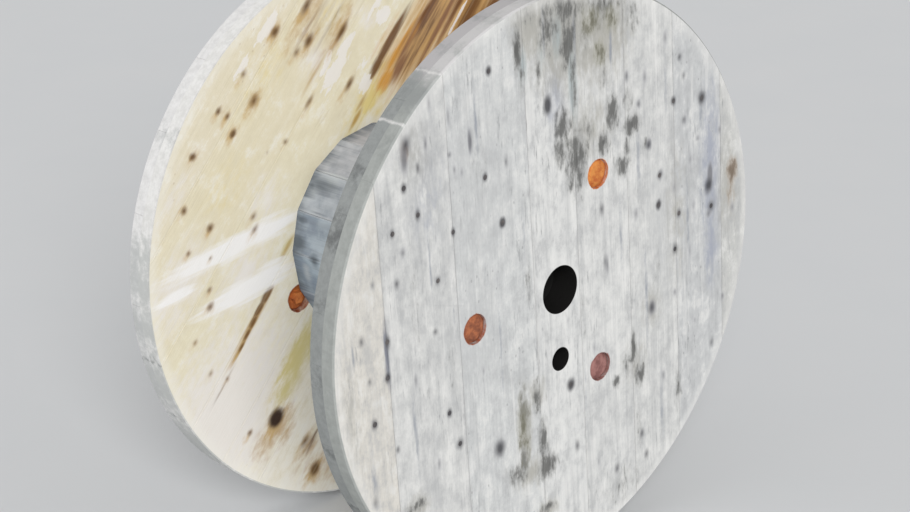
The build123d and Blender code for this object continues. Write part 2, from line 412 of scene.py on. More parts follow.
NEAR_DIRT = [
    (-90, 480, 50, 50, 0.5), (0, 470, 70, 60, 0.9), (-40, 446, 56, 32, 1.0), (6, 412, 60, 26, 1.25),
    (90, 460, 60, 80, 0.8), (160, 440, 50, 50, 0.5), (73, 445, 40, 16, 0.9), (-110, 426, 54, 15, 1.25),
    (-100, 385, 60, 10, 0.7), (-62, 380, 50, 9, 0.8), (23, 340, 70, 12, 0.9), (50, 420, 60, 40, 0.5),
    (95, 340, 40, 14, 0.6), (-3, 280, 44, 30, 1.25), (-6, 243, 48, 22, 1.1), (34, 215, 86, 38, 1.2),
    (60, 262, 40, 20, 0.6), (100, 230, 30, 21, 1.25), (120, 278, 44, 26, 1.15), (170, 246, 28, 32, 1.3),
    (147, 182, 30, 36, 0.9), (160, 290, 30, 22, 0.6), (160, 205, 36, 14, 0.8), (210, 205, 20, 16, 0.6),
    (-84, -203, 82, 19, 1.1), (-82, -275, 62, 17, 1.1), (-52, -180, 50, 15, 0.95),
    (-34, -262, 60, 20, 1.1), (-24, -312, 36, 36, 1.2), (-98, -308, 24, 32, 0.9),
    (-118, -296, 26, 20, 0.5), (176, -190, 30, 10, 1.0), (195, -160, 46, 11, 1.15),
    (186, -182, 16, 24, 0.9), (213, -220, 30, 20, 1.2), (151, -210, 18, 16, 1.0),
    (-20, -392, 14, 26, 0.95), (-330, -275, 16, 34, 0.9), (-75, 30, 70, 16, 0.45),
    (322, -275, 90, 16, 0.55), (215, -320, 60, 16, 0.5), (-420, -420, 70, 80, 0.5),
    (180, -420, 70, 80, 0.4), (-190, 250, 70, 30, 0.3), (250, -30, 80, 16, 0.35),
    (-250, -60, 120, 14, 0.3), (-330, 60, 120, 14, 0.3), (60, -60, 90, 10, 0.3),
]
NEAR_OLIVE = [
    (85, 384, 34, 22, 1.05), (-84, -225, 96, 26, 0.7), (62, 440, 40, 36, 0.8), (108, 436, 36, 30, 0.8),
]
NEAR_BROWN = [(452, 100, 38, 22, 1.2), (450, 60, 36, 18, 0.6), (-352, 312, 22, 14, 0.9)]
NEAR_BLUE = [
    (388, 120, 230, 40, 0.9), (400, -20, 120, 34, 0.8), (-20, 340, 120, 34, 0.7),
    (-310, 250, 170, 70, 0.35),
]
NEAR_GREY = [
    (-190, 200, 260, 120, 0.65), (-200, -20, 160, 110, 0.7), (250, 60, 300, 60, 0.6),
    (-320, 300, 150, 60, 0.5),
]
print(len(NEAR_SPOTS) + len(NEAR_FAINT), "spots on the near flange,", len(NEAR_DIRT), "of dirt")

# %% [markdown]
# ## The far flange's inner face
#
# Its knots have halos, and tails where resin has run. The brown run at the top is a tan ground
# with bands along the grain. A split with dark edges lies lower down. The white brush strokes
# cross the grain at an angle of their own.

# %% Marks on the far flange
FAR_KNOTS = [
    (330, 180, 16, 11, 0.9), (410, 60, 13, 10, 0.8), (290, 20, 12, 9, 0.6), (360, -120, 18, 12, 1.0),
    (240, -230, 14, 10, 0.8), (420, -210, 12, 9, 0.7), (300, -330, 20, 13, 0.9),
    (60, -300, 13, 10, 0.7), (120, -420, 16, 11, 0.8), (-20, -380, 12, 9, 0.6), (400, 250, 12, 9, 0.6),
    (230, 100, 9, 8, 0.5), (-397, 217, 13, 11, 0.9), (-420, 130, 13, 10, 0.8), (-368, 88, 13, 11, 0.8),
    (-273, 62, 16, 9, 0.6), (-415, 55, 9, 8, 0.6), (-312, 238, 13, 9, 1.0), (-340, 283, 12, 8, 0.8),
    (-322, 270, 12, 8, 0.7), (-265, 285, 20, 13, 0.7), (-285, 335, 14, 10, 0.6),
    (-215, 393, 18, 12, 0.9), (-142, 365, 22, 12, 0.9), (-145, 425, 30, 12, 0.8),
    (-67, 367, 30, 10, 0.9), (-52, 272, 24, 9, 0.8), (-200, 200, 10, 9, 0.6), (-375, -20, 11, 8, 0.6),
    (-375, -50, 14, 10, 0.7), (-410, -105, 10, 8, 0.5), (-380, -170, 11, 8, 0.5),
    (-345, -190, 10, 8, 0.5), (-240, -300, 20, 15, 1.4), (-300, -307, 11, 9, 0.7),
    (-153, -427, 22, 17, 1.1), (-175, -365, 24, 12, 0.7), (-145, 259, 24, 8, 0.7),
    (-370, 35, 8, 6, 0.5), (-275, 85, 14, 9, 0.6), (-170, 350, 16, 9, 0.6), (-240, 190, 8, 6, 0.3),
]
FAR_HALOS = [
    (-236, -312, 60, 40, 1.05), (-266, -338, 50, 40, 0.8), (-153, -427, 50, 34, 0.8),
    (-170, -378, 70, 24, 0.7), (-220, -335, 44, 30, 0.6), (-120, -440, 60, 50, 0.5),
    (-145, 410, 110, 30, 0.7), (-75, 375, 90, 24, 0.7), (-397, 217, 26, 20, 0.5),
    (-312, 238, 26, 18, 0.5), (-265, 285, 36, 22, 0.7), (-330, 276, 26, 20, 0.5),
    (-215, 393, 34, 20, 0.5), (-142, 365, 50, 22, 0.7),
]
FAR_TAILS = [(y - 0.3 * length, z - 0.35 * length, 2.2 * length, 1.5 * width, 0.7 * amount)
             for y, z, length, width, amount in FAR_KNOTS]
FAR_GROUND = [
    (143, 342, 190, 84, 1.3), (60, 300, 110, 60, 0.8), (39, 338, 90, 26, 0.5),
    (250, 350, 190, 110, 1.2),
]
FAR_BANDS = [
    (109, 342, 130, 11, 1.2), (174, 346, 130, 11, 1.1), (66, 280, 48, 16, 1.15),
    (200, 352, 120, 9, 1.0), (140, 372, 90, 14, 1.0), (90, 318, 70, 7, 0.8), (-77, 356, 60, 8, 0.6),
    (-141, 392, 60, 9, 0.6),
]
FAR_BRIGHT = [
    (32, 262, 32, 18, 1.35), (68, 314, 84, 12, 1.2), (40, 268, 26, 13, 1.1), (118, 350, 60, 6, 0.8),
]
FAR_DARK = [
    (46, 332, 106, 12, 1.5), (12, 292, 38, 14, 1.25), (132, 366, 46, 11, 1.3), (160, 392, 90, 12, 1.1),
    (250, 356, 120, 24, 1.3), (300, 340, 140, 40, 1.1), (218, 372, 90, 12, 1.0),
]
FAR_STREAKS = [(143, 345, 180, 74, 0.5), (-120, 385, 120, 60, 0.35), (-160, -372, 40, 14, 0.5)]
FAR_OCHRE = [
    (340, 40, 150, 12, 0.7), (250, -300, 120, 12, 0.8), (80, -360, 100, 9, 0.7),
    (-290, -112, 110, 11, 0.9), (-316, -146, 50, 6, 1.1), (-38, 206, 34, 8, 1.1),
    (-24, 232, 30, 8, 0.7), (-136, 300, 70, 7, 0.6), (-205, 10, 44, 7, 0.8), (-190, -20, 30, 6, 0.6),
    (-130, 322, 80, 8, 0.4),
]
FAR_SPLIT = [
    (-252, -62, 28, 10, 1.3), (-270, -84, 24, 8, 1.2), (-284, -104, 20, 7, 1.1),
    (-298, -122, 18, 6, 1.0), (-312, -142, 16, 5, 0.9), (-357, -204, 60, 5, 0.6),
    (-345, -190, 50, 5, 0.5),
]
FAR_YELLOW = [
    (-4, 232, 46, 26, 1.4), (20, 246, 34, 16, 1.2), (10, 250, 90, 60, 0.7), (-30, 215, 90, 40, 0.6),
    (-195, -200, 90, 26, 0.9), (-215, -230, 110, 40, 0.5), (-90, 400, 90, 50, 0.4),
    (-330, 150, 120, 70, 0.3), (-250, 320, 160, 80, 0.3), (-150, 60, 120, 40, 0.25),
]
FAR_PALE = [
    (-350, -260, 260, 190, 1.3), (-300, -20, 120, 90, 0.8), (-440, 0, 160, 80, 0.8),
    (-150, -420, 120, 100, 0.4), (-120, 330, 60, 50, 0.6), (0, 380, 50, 60, 0.5),
    (-440, 160, 120, 40, 0.5), (-245, 105, 80, 70, 0.6),
]
FAR_OLIVE = [
    (-178, -190, 120, 42, 1.1), (-212, -244, 80, 36, 0.9), (-150, -150, 90, 40, 0.8),
    (-205, 14, 26, 10, 0.7),
]
FAR_BLACK_KNOT = [(-240, -298, 27, 21, 1.35)]
FAR_CHIPS = [
    (350, 120, 50, 20, 1.1), (280, -200, 60, 18, 1.0), (180, -330, 50, 22, 1.0),
    (420, -60, 40, 14, 0.9), (-84, 303, 60, 24, 1.3), (-102, 318, 40, 14, 1.0),
    (-230, 405, 50, 16, 1.1), (-290, 345, 30, 12, 0.9), (-14, 268, 26, 18, 1.3), (28, 380, 26, 18, 1.2),
    (215, 345, 56, 5, 1.3), (-60, 335, 40, 20, 0.9), (14, 400, 30, 12, 0.9), (-20, 300, 20, 12, 0.8),
]
FAR_STROKES = [
    (330, 60, 150, 22, 0.8), (300, -80, 190, 24, 0.9), (-330, 40, 200, 26, 1.6),
    (-250, 54, 100, 28, 1.6), (-296, -42, 150, 28, 1.5), (-240, -24, 60, 26, 1.3),
    (-445, -14, 60, 15, 1.5),
]
LEVEL_TURNS = {"stroke": 9, "crack": -16}
print(len(FAR_KNOTS), "knots and", len(FAR_BANDS) + len(FAR_DARK), "brown bands on the far flange")

# %% [markdown]
# ## Nails in rows
#
# Boards are nailed where they cross the other layer, two nails abreast. The far flange's outer
# face isn't in the photograph, so its nails are set out by that rule, with a little wander.
# The same places serve the dark stains and, later, the nail heads.

# %% Nails of the far flange's outer layer
NAIL_PITCH = 0.15
NAIL_WANDER = 0.03
NAIL_LIMIT = 0.475
ARBOR_CLEARANCE, DRIVE_CLEARANCE, BOLT_CLEARANCE = 0.052, 0.034, 0.036


def nail_rows(layer, seed):
    """Two nails abreast at every step along each board, but clear of the holes and bolts."""
    chance = random.Random(seed)
    drive, bolts = holes_of(layer)
    holes = [((0.0, 0.0), ARBOR_CLEARANCE), (drive, DRIVE_CLEARANCE)]
    holes += [(bolt, BOLT_CLEARANCE) for bolt in bolts]
    found = []
    for number in range(1, len(LAYERS[layer]["joints"]) + 2):
        low, high = board_span(layer, number)
        for across in (low + 0.25 * (high - low), low + 0.75 * (high - low)):
            for step in range(-3, 4):
                along = NAIL_PITCH * step + chance.uniform(-NAIL_WANDER, NAIL_WANDER)
                clear = all(math.dist((along, across), hole) > reach for hole, reach in holes)
                if clear and math.hypot(along, across) < NAIL_LIMIT:
                    y, z = board_place(-LAYERS[layer]["grain"], along, across)
                    lengths = (chance.uniform(8, 13), chance.uniform(7, 9))
                    found.append((y * 1000, z * 1000, *lengths, chance.uniform(0.4, 1.0)))
    return found


FAR_OUTER_NAILS = nail_rows("far_outer", 7)
print(len(FAR_OUTER_NAILS), "nails on the far flange")

# %% [markdown]
# ## Marks on the rims
#
# The rims have rolled over the ground, so they are scuffed and grey. A painted highlight lies along
# the top of the near rim. The far rim has grey marks, and painted shade greys its lower part.
# Their marks are round, because end grain has no direction.

# %% Marks on the rims
NEAR_RIM_DARK = [
    (-407, 291, 34, 34, 0.6), (-459, 199, 26, 26, 0.8), (-448, 222, 34, 34, 0.5),
    (-489, 104, 26, 26, 0.4), (-499, -20, 34, 34, 0.3), (-478, -146, 14, 14, 0.6),
    (-430, -255, 20, 20, 0.6), (-418, -274, 14, 14, 0.5), (-400, -300, 60, 60, 0.4),
    (60, -496, 80, 80, 0.5), (480, -140, 60, 60, 0.5), (430, 255, 50, 50, 0.5),
    (300, -400, 70, 70, 0.5),
]
NEAR_RIM_SHADE = [
    (-314, 389, 44, 44, 1.1), (-380, 325, 30, 30, 0.4), (300, -400, 90, 90, 0.6),
    (480, 140, 80, 80, 0.6), (0, -500, 100, 100, 0.5),
]
# Painted highlight along the top of the near rim
NEAR_RIM_HIGHLIGHT = [
    (-255, 430, 60, 60, 1.1), (-190, 462, 70, 70, 1.2), (-110, 488, 70, 70, 1.2),
    (-30, 499, 70, 70, 1.0), (60, 496, 60, 60, 0.7),
]
NEAR_RIM_LINES = [(-352, 355, 5, 5, 0.9), (-276, 417, 5, 5, 0.8)]
# Grey marks on the far rim, with painted shade on its lower part
FAR_RIM_GREY_AND_SHADE = [
    (-500, 20, 60, 60, 1.0), (-497, -60, 70, 70, 1.0), (-470, -170, 120, 120, 1.0),
    (-400, -300, 140, 140, 1.1), (-250, -433, 160, 160, 1.1), (0, -500, 200, 200, 1.1),
    (250, -433, 160, 160, 0.9), (-430, 255, 30, 30, 0.5), (-496, 66, 50, 50, 0.9),
    (490, 100, 120, 120, 0.7),
]
FAR_RIM_DARK = [
    (-484, -124, 8, 8, 0.5), (-440, -238, 8, 8, 0.4), (-354, -354, 8, 8, 0.4), (100, -490, 60, 60, 0.4),
]
print(len(NEAR_RIM_DARK) + len(FAR_RIM_GREY_AND_SHADE), "marks on the rims")

# %% [markdown]
# ## Layers of a weathered surface
#
# An old painted board is a stack of histories: bare wood, a thin pale wash, wear, mildew,
# stains. The material is built in the same order, one function for each layer. Every function
# takes the colour so far and returns the next one, so that a look is a list of layers.

# %% Wash, wear and flecks


def washed_wood(shader, place, grain, look, tone, seed):
    """A pale wash over wood: mottled, worn in streaks along the grain, and flecked."""
    rings, fibre, streaks = grain
    worn, light = look["worn"], look["light"]
    moved = shader.vector("ADD", place, (seed * 0.37, seed * 0.71, seed * 0.53))
    mottle = shader.noise(moved, (34.0, 22.0, 34.0), 5.0, 0.72)
    finish = shader.stain(colour(*tone), mottle, (0.45, 0.68), look["mottle"], worn)
    finish = shader.stain(finish, mottle, (0.5, 0.34), 0.6, light)
    finish = shader.stain(finish, streaks, (0.48, 0.74), look["wear"], worn)
    finish = shader.stain(finish, streaks, (0.46, 0.30), look["wear"], light)
    brushed = shader.stretch(shader.noise(moved, (190.0, 24.0, 190.0), 4.0, 0.66), 0.55, 0.74)
    patches = shader.stretch(shader.noise(moved, (13.0, 5.0, 13.0)), 0.4, 0.66)
    scuffed = shader.scale(shader.scale(brushed, patches), look["scuffs"])
    finish = shader.mix(scuffed, finish, colour(*look["scuff"]))
    finish = shader.ring_lines(finish, rings, 4.0, look["rings"], worn)
    finish = shader.stain(finish, fibre, (0.52, 0.74), 0.26, worn)
    cell_place = shader.vector("MULTIPLY", moved, (15.0, 9.0, 15.0))
    cells = shader.node("ShaderNodeTexVoronoi", Vector=cell_place).outputs
    size = shader.stretch(shader.axis(cells["Color"], "X"), 0.4, 1.0, -0.1, 0.1)
    reach = shader.scale(mottle, 0.12, size)
    inside = shader.math("SUBTRACT", reach, cells["Distance"])
    return shader.stain(finish, inside, (0.0, 0.1), look["flecks"], look["fleck"])


print("wash ready")

# %% Dirt, stains, chips and spots


def patchy_layer(shader, finish, mask, blots, pores, tint):
    """Dirt or mildew: a soft veil, blots, and fine strokes in the thickest places."""
    present = shader.stretch(mask, 0.0, 0.22)
    for noise, contrast, weight, lift, span, most, paler in (
        (blots, 0.9, 0.7, -0.45, (0.02, 0.5), 0.62, 66),
        (blots, 1.5, 0.62, -0.75, (0.22, 0.62), 0.85, 12),
        (pores, 1.3, 0.4, -0.65, (0.3, 0.55), 0.5, 0),
    ):
        level = shader.scale(mask, weight, lift)
        level = shader.scale(noise, contrast, level)
        amount = shader.scale(shader.stretch(level, *span, 0.0, most), present)
        finish = shader.mix(amount, finish, colour(*(part + paler for part in tint)))
    return finish


def soft_layer(shader, finish, mask, noise, tint, most=0.9):
    """A stain that has soaked in: its edge is ragged and fades along the fibres."""
    ragged = shader.scale(noise, 1.5, -0.75)
    ragged = shader.scale(shader.stretch(mask, 0.0, 0.3), ragged)
    return shader.stain(finish, shader.math("ADD", mask, ragged), (0.02, 0.95), most, tint)


def chip_layer(shader, finish, mask, noise, tint):
    """Thick paint that has chipped: an even colour with a crisp, irregular edge."""
    mask = shader.scale(mask, 1.1)
    edge = shader.math("ADD", mask, shader.scale(noise, 2.2, -1.1))
    present = shader.stretch(mask, 0.0, 0.12)
    paint = shader.scale(shader.stretch(edge, 0.3, 0.52, 0.0, 0.8), present)
    return shader.mix(paint, finish, colour(*tint))


def spot_layer(shader, finish, mask, tint):
    """Small dark marks: a firm middle and a faint grey ring round it."""
    finish = shader.stain(finish, mask, (0.0, 0.45), 0.4, [part + 56 for part in tint])
    return shader.stain(finish, mask, (0.2, 0.8), 0.85, tint)


def level_layer(shader, finish, kind, marks, tint):
    """Brush strokes or cracks, which run at their own angle and not along the grain."""
    turn = LEVEL_TURNS[kind]
    level = board_coordinates(shader, turn)
    brush = shader.noise(level, (1.0, 12.0, 130.0), 3.0)
    mask = marks_mask(shader, level, turn, marks)
    mask = shader.scale(mask, shader.stretch(mask, 0.0, 0.25))
    return soft_layer(shader, finish, mask, brush, tint, 1.0)


print("surface layers ready")

# %% [markdown]
# ## Holes and the rust that bleeds from bolts
#
# The walls of the centre and drive holes are painted near black, as painted shade inside the
# holes. Rust has bled from the bolts into their recesses. Both are circles in board coordinates,
# so each hole's place is turned to the board's own direction first.

# %% Hole walls and bled rust
# Painted shade: the near black that is painted on the walls of the holes
HOLE_SHADE = (20, 19, 18)
BOLT_REACH = 0.03
WALL_EDGE = (0.0012, 0.0003)
RECESS_EDGE = (0.0238, 0.0212)
UPPER_BOLT, LOWER_BOLT = (0.05, 0.12), (-0.11, -0.14)


def from_point(shader, place, point=(0.0, 0.0)):
    """The distance from a point of the face, at any depth."""
    return shader.distance(place, (0.0, *point), (0.0, 1.0, 1.0))


def hole_shade_mask(shader, layer, place):
    """1 on the walls of the arbor and drive holes, and 0 a millimetre round them."""
    so_far = 0.0
    for hole, radius in (((0.0, 0.0), ARBOR_RADIUS), (holes_of(layer)[0], DRIVE_HOLE_RADIUS)):
        edge = [radius + beyond for beyond in WALL_EDGE]
        on_wall = shader.stretch(from_point(shader, place, hole), *edge)
        so_far = shader.math("MAXIMUM", so_far, on_wall)
    return so_far


def rust_mask(shader, layer, place, ripple):
    """Rust that has bled from the bolts into the walls and edge of their recesses."""
    so_far = 0.0
    for bolt in holes_of(layer)[1]:
        distance = shader.scale(ripple, -0.006, from_point(shader, place, bolt))
        so_far = shader.math("MAXIMUM", so_far, shader.stretch(distance, *RECESS_EDGE))
    return so_far


def by_height(shader, height, middle, upper, lower):
    """One colour at the middle, and others above and below it, as on the three bolts."""
    tone = shader.stain(colour(*middle), height, UPPER_BOLT, 1.0, upper)
    return shader.stain(tone, height, LOWER_BOLT, 1.0, lower)


def has_bolt(layer, number):
    """Whether a bolt's recess comes near a board."""
    low, high = board_span(layer, number)
    return any(low - BOLT_REACH < across < high + BOLT_REACH for _, across in holes_of(layer)[1])


print("hole and rust tools ready")

# %% [markdown]
# ## Old boards
#
# Each board gets its own material: its own log, its own tone and only the marks that lie on
# it, which keeps every network small. The rim was never washed as pale as the faces, so it is
# mixed in by distance from the axis.

# %% The board material
JOINT_EDGE = (0.008, 0.003)
# Painted highlight: the face is painted paler towards its outer edge, where the edge catches light
EDGE_HIGHLIGHT = (0.474, 0.492)
RIM_START = (0.4966, 0.498)


def shifted(shader, place, along, across):
    """The board coordinates, moved along and across the grain."""
    shift = shader.node("ShaderNodeCombineXYZ", Y=along, Z=across)
    return shader.vector("ADD", place, shift.outputs[0])


def ragged_place(shader, place, streaks, along, across):
    """The board coordinates, rippled so that marks don't have smooth outlines."""
    ripple = shader.noise(place, (75.0, 40.0, 75.0), 3.0, 0.65)
    along = shader.scale(ripple, along, -along / 2)
    across = shader.scale(streaks, across, -across / 2)
    return shifted(shader, place, along, across), ripple


def rim_finish(shader, layer, number, look, rings, place, slightly):
    """The rim: chalky, with faint rings, and its own marks."""
    turn = LAYERS[layer]["grain"]
    chalky = shader.noise(place, (70.0, 70.0, 70.0), 4.0, 0.7)
    finish = shader.stain(colour(*look["rim"]), chalky, (0.3, 0.72), 1.0, look["rim_dark"])
    finish = shader.ring_lines(finish, rings, 1.0, 0.12, look["rim_dark"])
    wide = shader.noise(place, (40.0, 24.0, 24.0), 3.0, 0.55)
    shift = shader.scale(wide, 0.05, -0.025)
    rippled = shifted(shader, place, shift, shift)
    for marks, tint in look["rim_marks"]:
        here = marks_on(layer, number, marks)
        if here:
            where = slightly if marks is NEAR_RIM_LINES else rippled
            finish = soft_layer(shader, finish, marks_mask(shader, where, turn, here), chalky, tint)
    return finish


def board_material(layer, number, look, seed):
    """The finish of one board. look holds the layer's colours and its lists of marks."""
    chance = random.Random(seed)
    turn = LAYERS[layer]["grain"]
    shader = Shader(f"{layer}_board_{number}")
    place = board_coordinates(shader, turn)
    low, high = board_span(layer, number)
    heart = (chance.choice((-1, 1)) * chance.uniform(0.26, 0.3), chance.uniform(low, high))
    rings, fibre, streaks = grain = wood_grain(shader, place, seed, heart)
    finish = washed_wood(shader, place, grain, look, look["tones"][number - 1], seed)

    # The marks that lie on this board: where each kind is drawn, how, and with which noise
    warped, ripple = ragged_place(shader, place, streaks, 0.03, 0.014)
    slightly, _ = ragged_place(shader, place, streaks, 0.008, 0.004)
    pores = shader.noise(place, (150.0, 17.0, 150.0), 5.0, 0.72)
    blots = shader.noise(place, (92.0, 34.0, 92.0), 4.0, 0.62)
    drawn_out = shader.noise(place, (84.0, 6.0, 84.0), 4.0, 0.6)
    kinds = {
        "soft": (warped, soft_layer, (blots,)),
        "band": (slightly, soft_layer, (drawn_out,)),
        "patchy": (warped, patchy_layer, (blots, pores)),
        "streaky": (warped, patchy_layer, (drawn_out, pores)),
        "chip": (warped, chip_layer, (blots,)),
        "spot": (slightly, spot_layer, ()),
    }
    height = shader.scale(fibre, 0.5)
    for kind, marks, tint in look["marks"]:
        here = marks_on(layer, number, marks)
        if here and kind in LEVEL_TURNS:
            finish = level_layer(shader, finish, kind, here, tint)
        elif here:
            where, add_layer, noises = kinds[kind]
            mask = marks_mask(shader, where, turn, here)
            finish = add_layer(shader, finish, mask, *noises, tint)
            if kind == "spot":
                dent = shader.stretch(mask, 0.2, 0.6, 0.0, 0.5)
                height = shader.math("SUBTRACT", height, dent)

    # Dirt in the joints
    across = shader.axis(place, "Z")
    from_low = shader.math("SUBTRACT", across, low)
    to_edge = shader.math("MINIMUM", from_low, shader.math("SUBTRACT", high, across))
    to_edge = shader.scale(pores, 0.008, to_edge)
    finish = shader.stain(finish, to_edge, JOINT_EDGE, look["joint"], look["joint_dirt"])

    # The painted highlight along the face's edge, the rim, the recesses, and the painted shade on the
    # walls of the holes
    radius = from_point(shader, place)
    rim = rim_finish(shader, layer, number, look, rings, place, slightly)
    # Painted highlight: a paler band along the outer edge of the face
    finish = shader.stain(finish, radius, EDGE_HIGHLIGHT, look["edge"], look["light"])
    finish = shader.mix(shader.stretch(radius, *RIM_START), finish, rim)
    if has_bolt(layer, number):
        level = shader.axis(board_coordinates(shader, 0), "Z")
        rust_tone = by_height(shader, level, (156, 84, 52), (196, 112, 50), (142, 98, 92))
        finish = shader.mix(rust_mask(shader, layer, place, ripple), finish, rust_tone)
    # Painted shade: the walls of the arbor and drive holes are painted near black
    finish = shader.mix(hole_shade_mask(shader, layer, place), finish, colour(*HOLE_SHADE))

    height = shader.scale(streaks, 0.6, height)
    height = shader.scale(rings, -0.12, height)
    return shader.complete(finish, fibre, (0.72, 0.92), height, (0.45, 0.0015), 0.2)


def dress_layer(layer, look, seed):
    """Gives each board of a layer its material."""
    count = len(LAYERS[layer]["joints"]) + 1
    for number in range(1, count + 1):
        dress(f"{layer}_board_{number}", board_material(layer, number, look, seed + number))
    print(layer, "has", count, "boards dressed")


# %% [markdown]
# ## The near flange
#
# Its outer face is the palest and dirtiest: a grey-white wash, mildew strokes at the top and
# below the middle, and dark nail stains all over. The inner layer shows only at the rim, a
# little darker, and on the side that faces the cable.

# %% Near flange
NEAR_OUTER_LOOK = {
    "tones": [(214, 210, 202), (207, 207, 205), (206, 207, 206), (217, 217, 215),
              (212, 212, 210), (208, 208, 206), (198, 199, 199), (196, 196, 193)],
    "worn": (170, 171, 172), "light": (228, 227, 224), "wear": 0.5, "mottle": 0.56, "rings": 0.1,
    "scuffs": 0.72, "scuff": (136, 137, 139), "flecks": 0.5, "fleck": (132, 132, 133), "edge": 0.35,
    "rim": (167, 170, 167), "rim_dark": (153, 156, 153), "joint": 0.16, "joint_dirt": (158, 158, 156),
    # The near rim's top carries a painted highlight
    "rim_marks": [(NEAR_RIM_SHADE, (146, 149, 148)), (NEAR_RIM_HIGHLIGHT, (202, 200, 200)),
                  (NEAR_RIM_LINES, (216, 215, 213))],
    "marks": [("soft", NEAR_GREY, (190, 191, 191)), ("soft", NEAR_BLUE, (160, 164, 176)),
              ("soft", NEAR_VEIL, (172, 170, 163)), ("band", NEAR_GREEN, (166, 176, 177)),
              ("soft", NEAR_LINES, (148, 152, 160)),
              ("crack", NEAR_CRACKS, (160, 160, 160)), ("band", NEAR_SPLIT, (118, 120, 130)),
              ("patchy", NEAR_DIRT, (86, 86, 84)), ("patchy", NEAR_OLIVE, (98, 96, 82)),
              ("patchy", NEAR_BROWN, (112, 98, 84)), ("spot", NEAR_FAINT, (124, 124, 127)),
              ("spot", larger(NEAR_SPOTS, 1.3), (60, 60, 64))],
}
NEAR_INNER_LOOK = {
    "tones": [(206, 204, 196), (202, 200, 190), (208, 206, 198), (200, 199, 191)] * 2,
    "worn": (160, 160, 155), "light": (222, 220, 212), "wear": 0.4, "mottle": 0.5, "rings": 0.14,
    "scuffs": 0.5, "scuff": (132, 131, 128), "flecks": 0.5, "fleck": (128, 126, 120), "edge": 0.2,
    "rim": (152, 155, 154), "rim_dark": (138, 141, 140), "joint": 0.3, "joint_dirt": (130, 130, 126),
    # The near rim's top carries a painted highlight
    "rim_marks": [(NEAR_RIM_DARK, (104, 106, 106)), (NEAR_RIM_HIGHLIGHT, (184, 181, 182)),
                  (NEAR_RIM_LINES, (208, 207, 205))],
    "marks": [("soft", scattered(46, 12, 120, 0.6), (176, 170, 156)),
              ("patchy", scattered(47, 8, 70, 0.6), (104, 100, 90)),
              ("soft", scattered(48, 16, 30, 0.9), (158, 134, 96)),
              ("spot", scattered(49, 26, 16, 0.8), (92, 76, 56))],
}
dress_layer("near_outer", NEAR_OUTER_LOOK, 100)
dress_layer("near_inner", NEAR_INNER_LOOK, 200)

# %% [markdown]
# ## The far flange
#
# Its inner face has kept a cream colour. Something brown has run into it at the top, thick white
# paint was brushed across it and has chipped, and it is full of knots.

# %% Far flange
FAR_INNER_LOOK = {
    "tones": [(234, 229, 220), (235, 230, 219), (238, 233, 220), (242, 237, 224), (242, 236, 221),
              (239, 232, 212), (233, 225, 199), (232, 223, 197), (231, 222, 199)],
    "worn": (222, 212, 184), "light": (242, 239, 230), "wear": 0.2, "mottle": 0.5, "rings": 0.05,
    "scuffs": 0.22, "scuff": (184, 168, 136), "flecks": 0.4, "fleck": (178, 156, 122), "edge": 0.4,
    "rim": (232, 231, 229), "rim_dark": (214, 213, 210), "joint": 0.2, "joint_dirt": (186, 172, 142),
    # The far rim has grey marks and painted shade on its lower part
    "rim_marks": [(FAR_RIM_GREY_AND_SHADE, (190, 192, 190)), (FAR_RIM_DARK, (120, 122, 122))],
    "marks": [("soft", FAR_PALE, (235, 230, 225)), ("soft", FAR_YELLOW, (228, 208, 134)),
              ("soft", FAR_OLIVE, (214, 202, 144)), ("band", FAR_OCHRE, (186, 150, 84)),
              ("soft", FAR_HALOS, (196, 166, 122)), ("band", FAR_GROUND, (203, 154, 80)),
              ("band", FAR_BANDS, (140, 96, 64)), ("band", FAR_BRIGHT, (214, 152, 62)),
              ("band", FAR_DARK, (102, 62, 30)), ("streaky", FAR_STREAKS, (80, 52, 34)),
              ("band", FAR_SPLIT, (112, 78, 46)), ("stroke", FAR_STROKES, (246, 244, 242)),
              ("chip", FAR_CHIPS, (240, 236, 232)), ("soft", FAR_TAILS, (204, 172, 116)),
              ("spot", FAR_KNOTS, (96, 66, 36)), ("spot", FAR_BLACK_KNOT, (48, 33, 28))],
}
FAR_OUTER_LOOK = {
    "tones": [(208, 206, 199), (200, 201, 200), (212, 211, 206), (196, 197, 197),
              (210, 210, 207), (203, 201, 194), (212, 211, 207), (200, 200, 197)],
    "worn": (168, 168, 164), "light": (224, 223, 219), "wear": 0.42, "mottle": 0.5, "rings": 0.1,
    "scuffs": 0.55, "scuff": (136, 136, 134), "flecks": 0.5, "fleck": (128, 127, 124), "edge": 0.5,
    "rim": (230, 229, 228), "rim_dark": (212, 211, 210), "joint": 0.2, "joint_dirt": (152, 151, 147),
    # The far rim has grey marks and painted shade on its lower part
    "rim_marks": [(FAR_RIM_GREY_AND_SHADE, (186, 188, 187)), (FAR_RIM_DARK, (126, 128, 128))],
    "marks": [("soft", scattered(44, 10, 120, 0.7), (176, 177, 178)),
              ("patchy", scattered(45, 12, 60, 0.9), (96, 95, 91)),
              ("spot", FAR_OUTER_NAILS, (78, 76, 76))],
}
dress_layer("far_inner", FAR_INNER_LOOK, 300)
dress_layer("far_outer", FAR_OUTER_LOOK, 400)

# %% [markdown]
# ## The barrel
#
# The staves are narrow sawn boards, greyer and bluer than the flanges, because cable has
# worn them and no wash was put on. Their grain runs along the axis. Turning the coordinates
# to each stave lets them use the same growth rings as the flange boards. Light is painted on
# them as well: they are paler towards the top of the barrel, with a painted highlight along
# each stave's edges.

# %% Marks on the staves, each (x, angle round the barrel, half length, half width, amount)
FIRST_STAVE_EDGE = 135
STAVE_PITCH = 22.5
STAVE_FACE = 188
STAVE_VIEW = 30

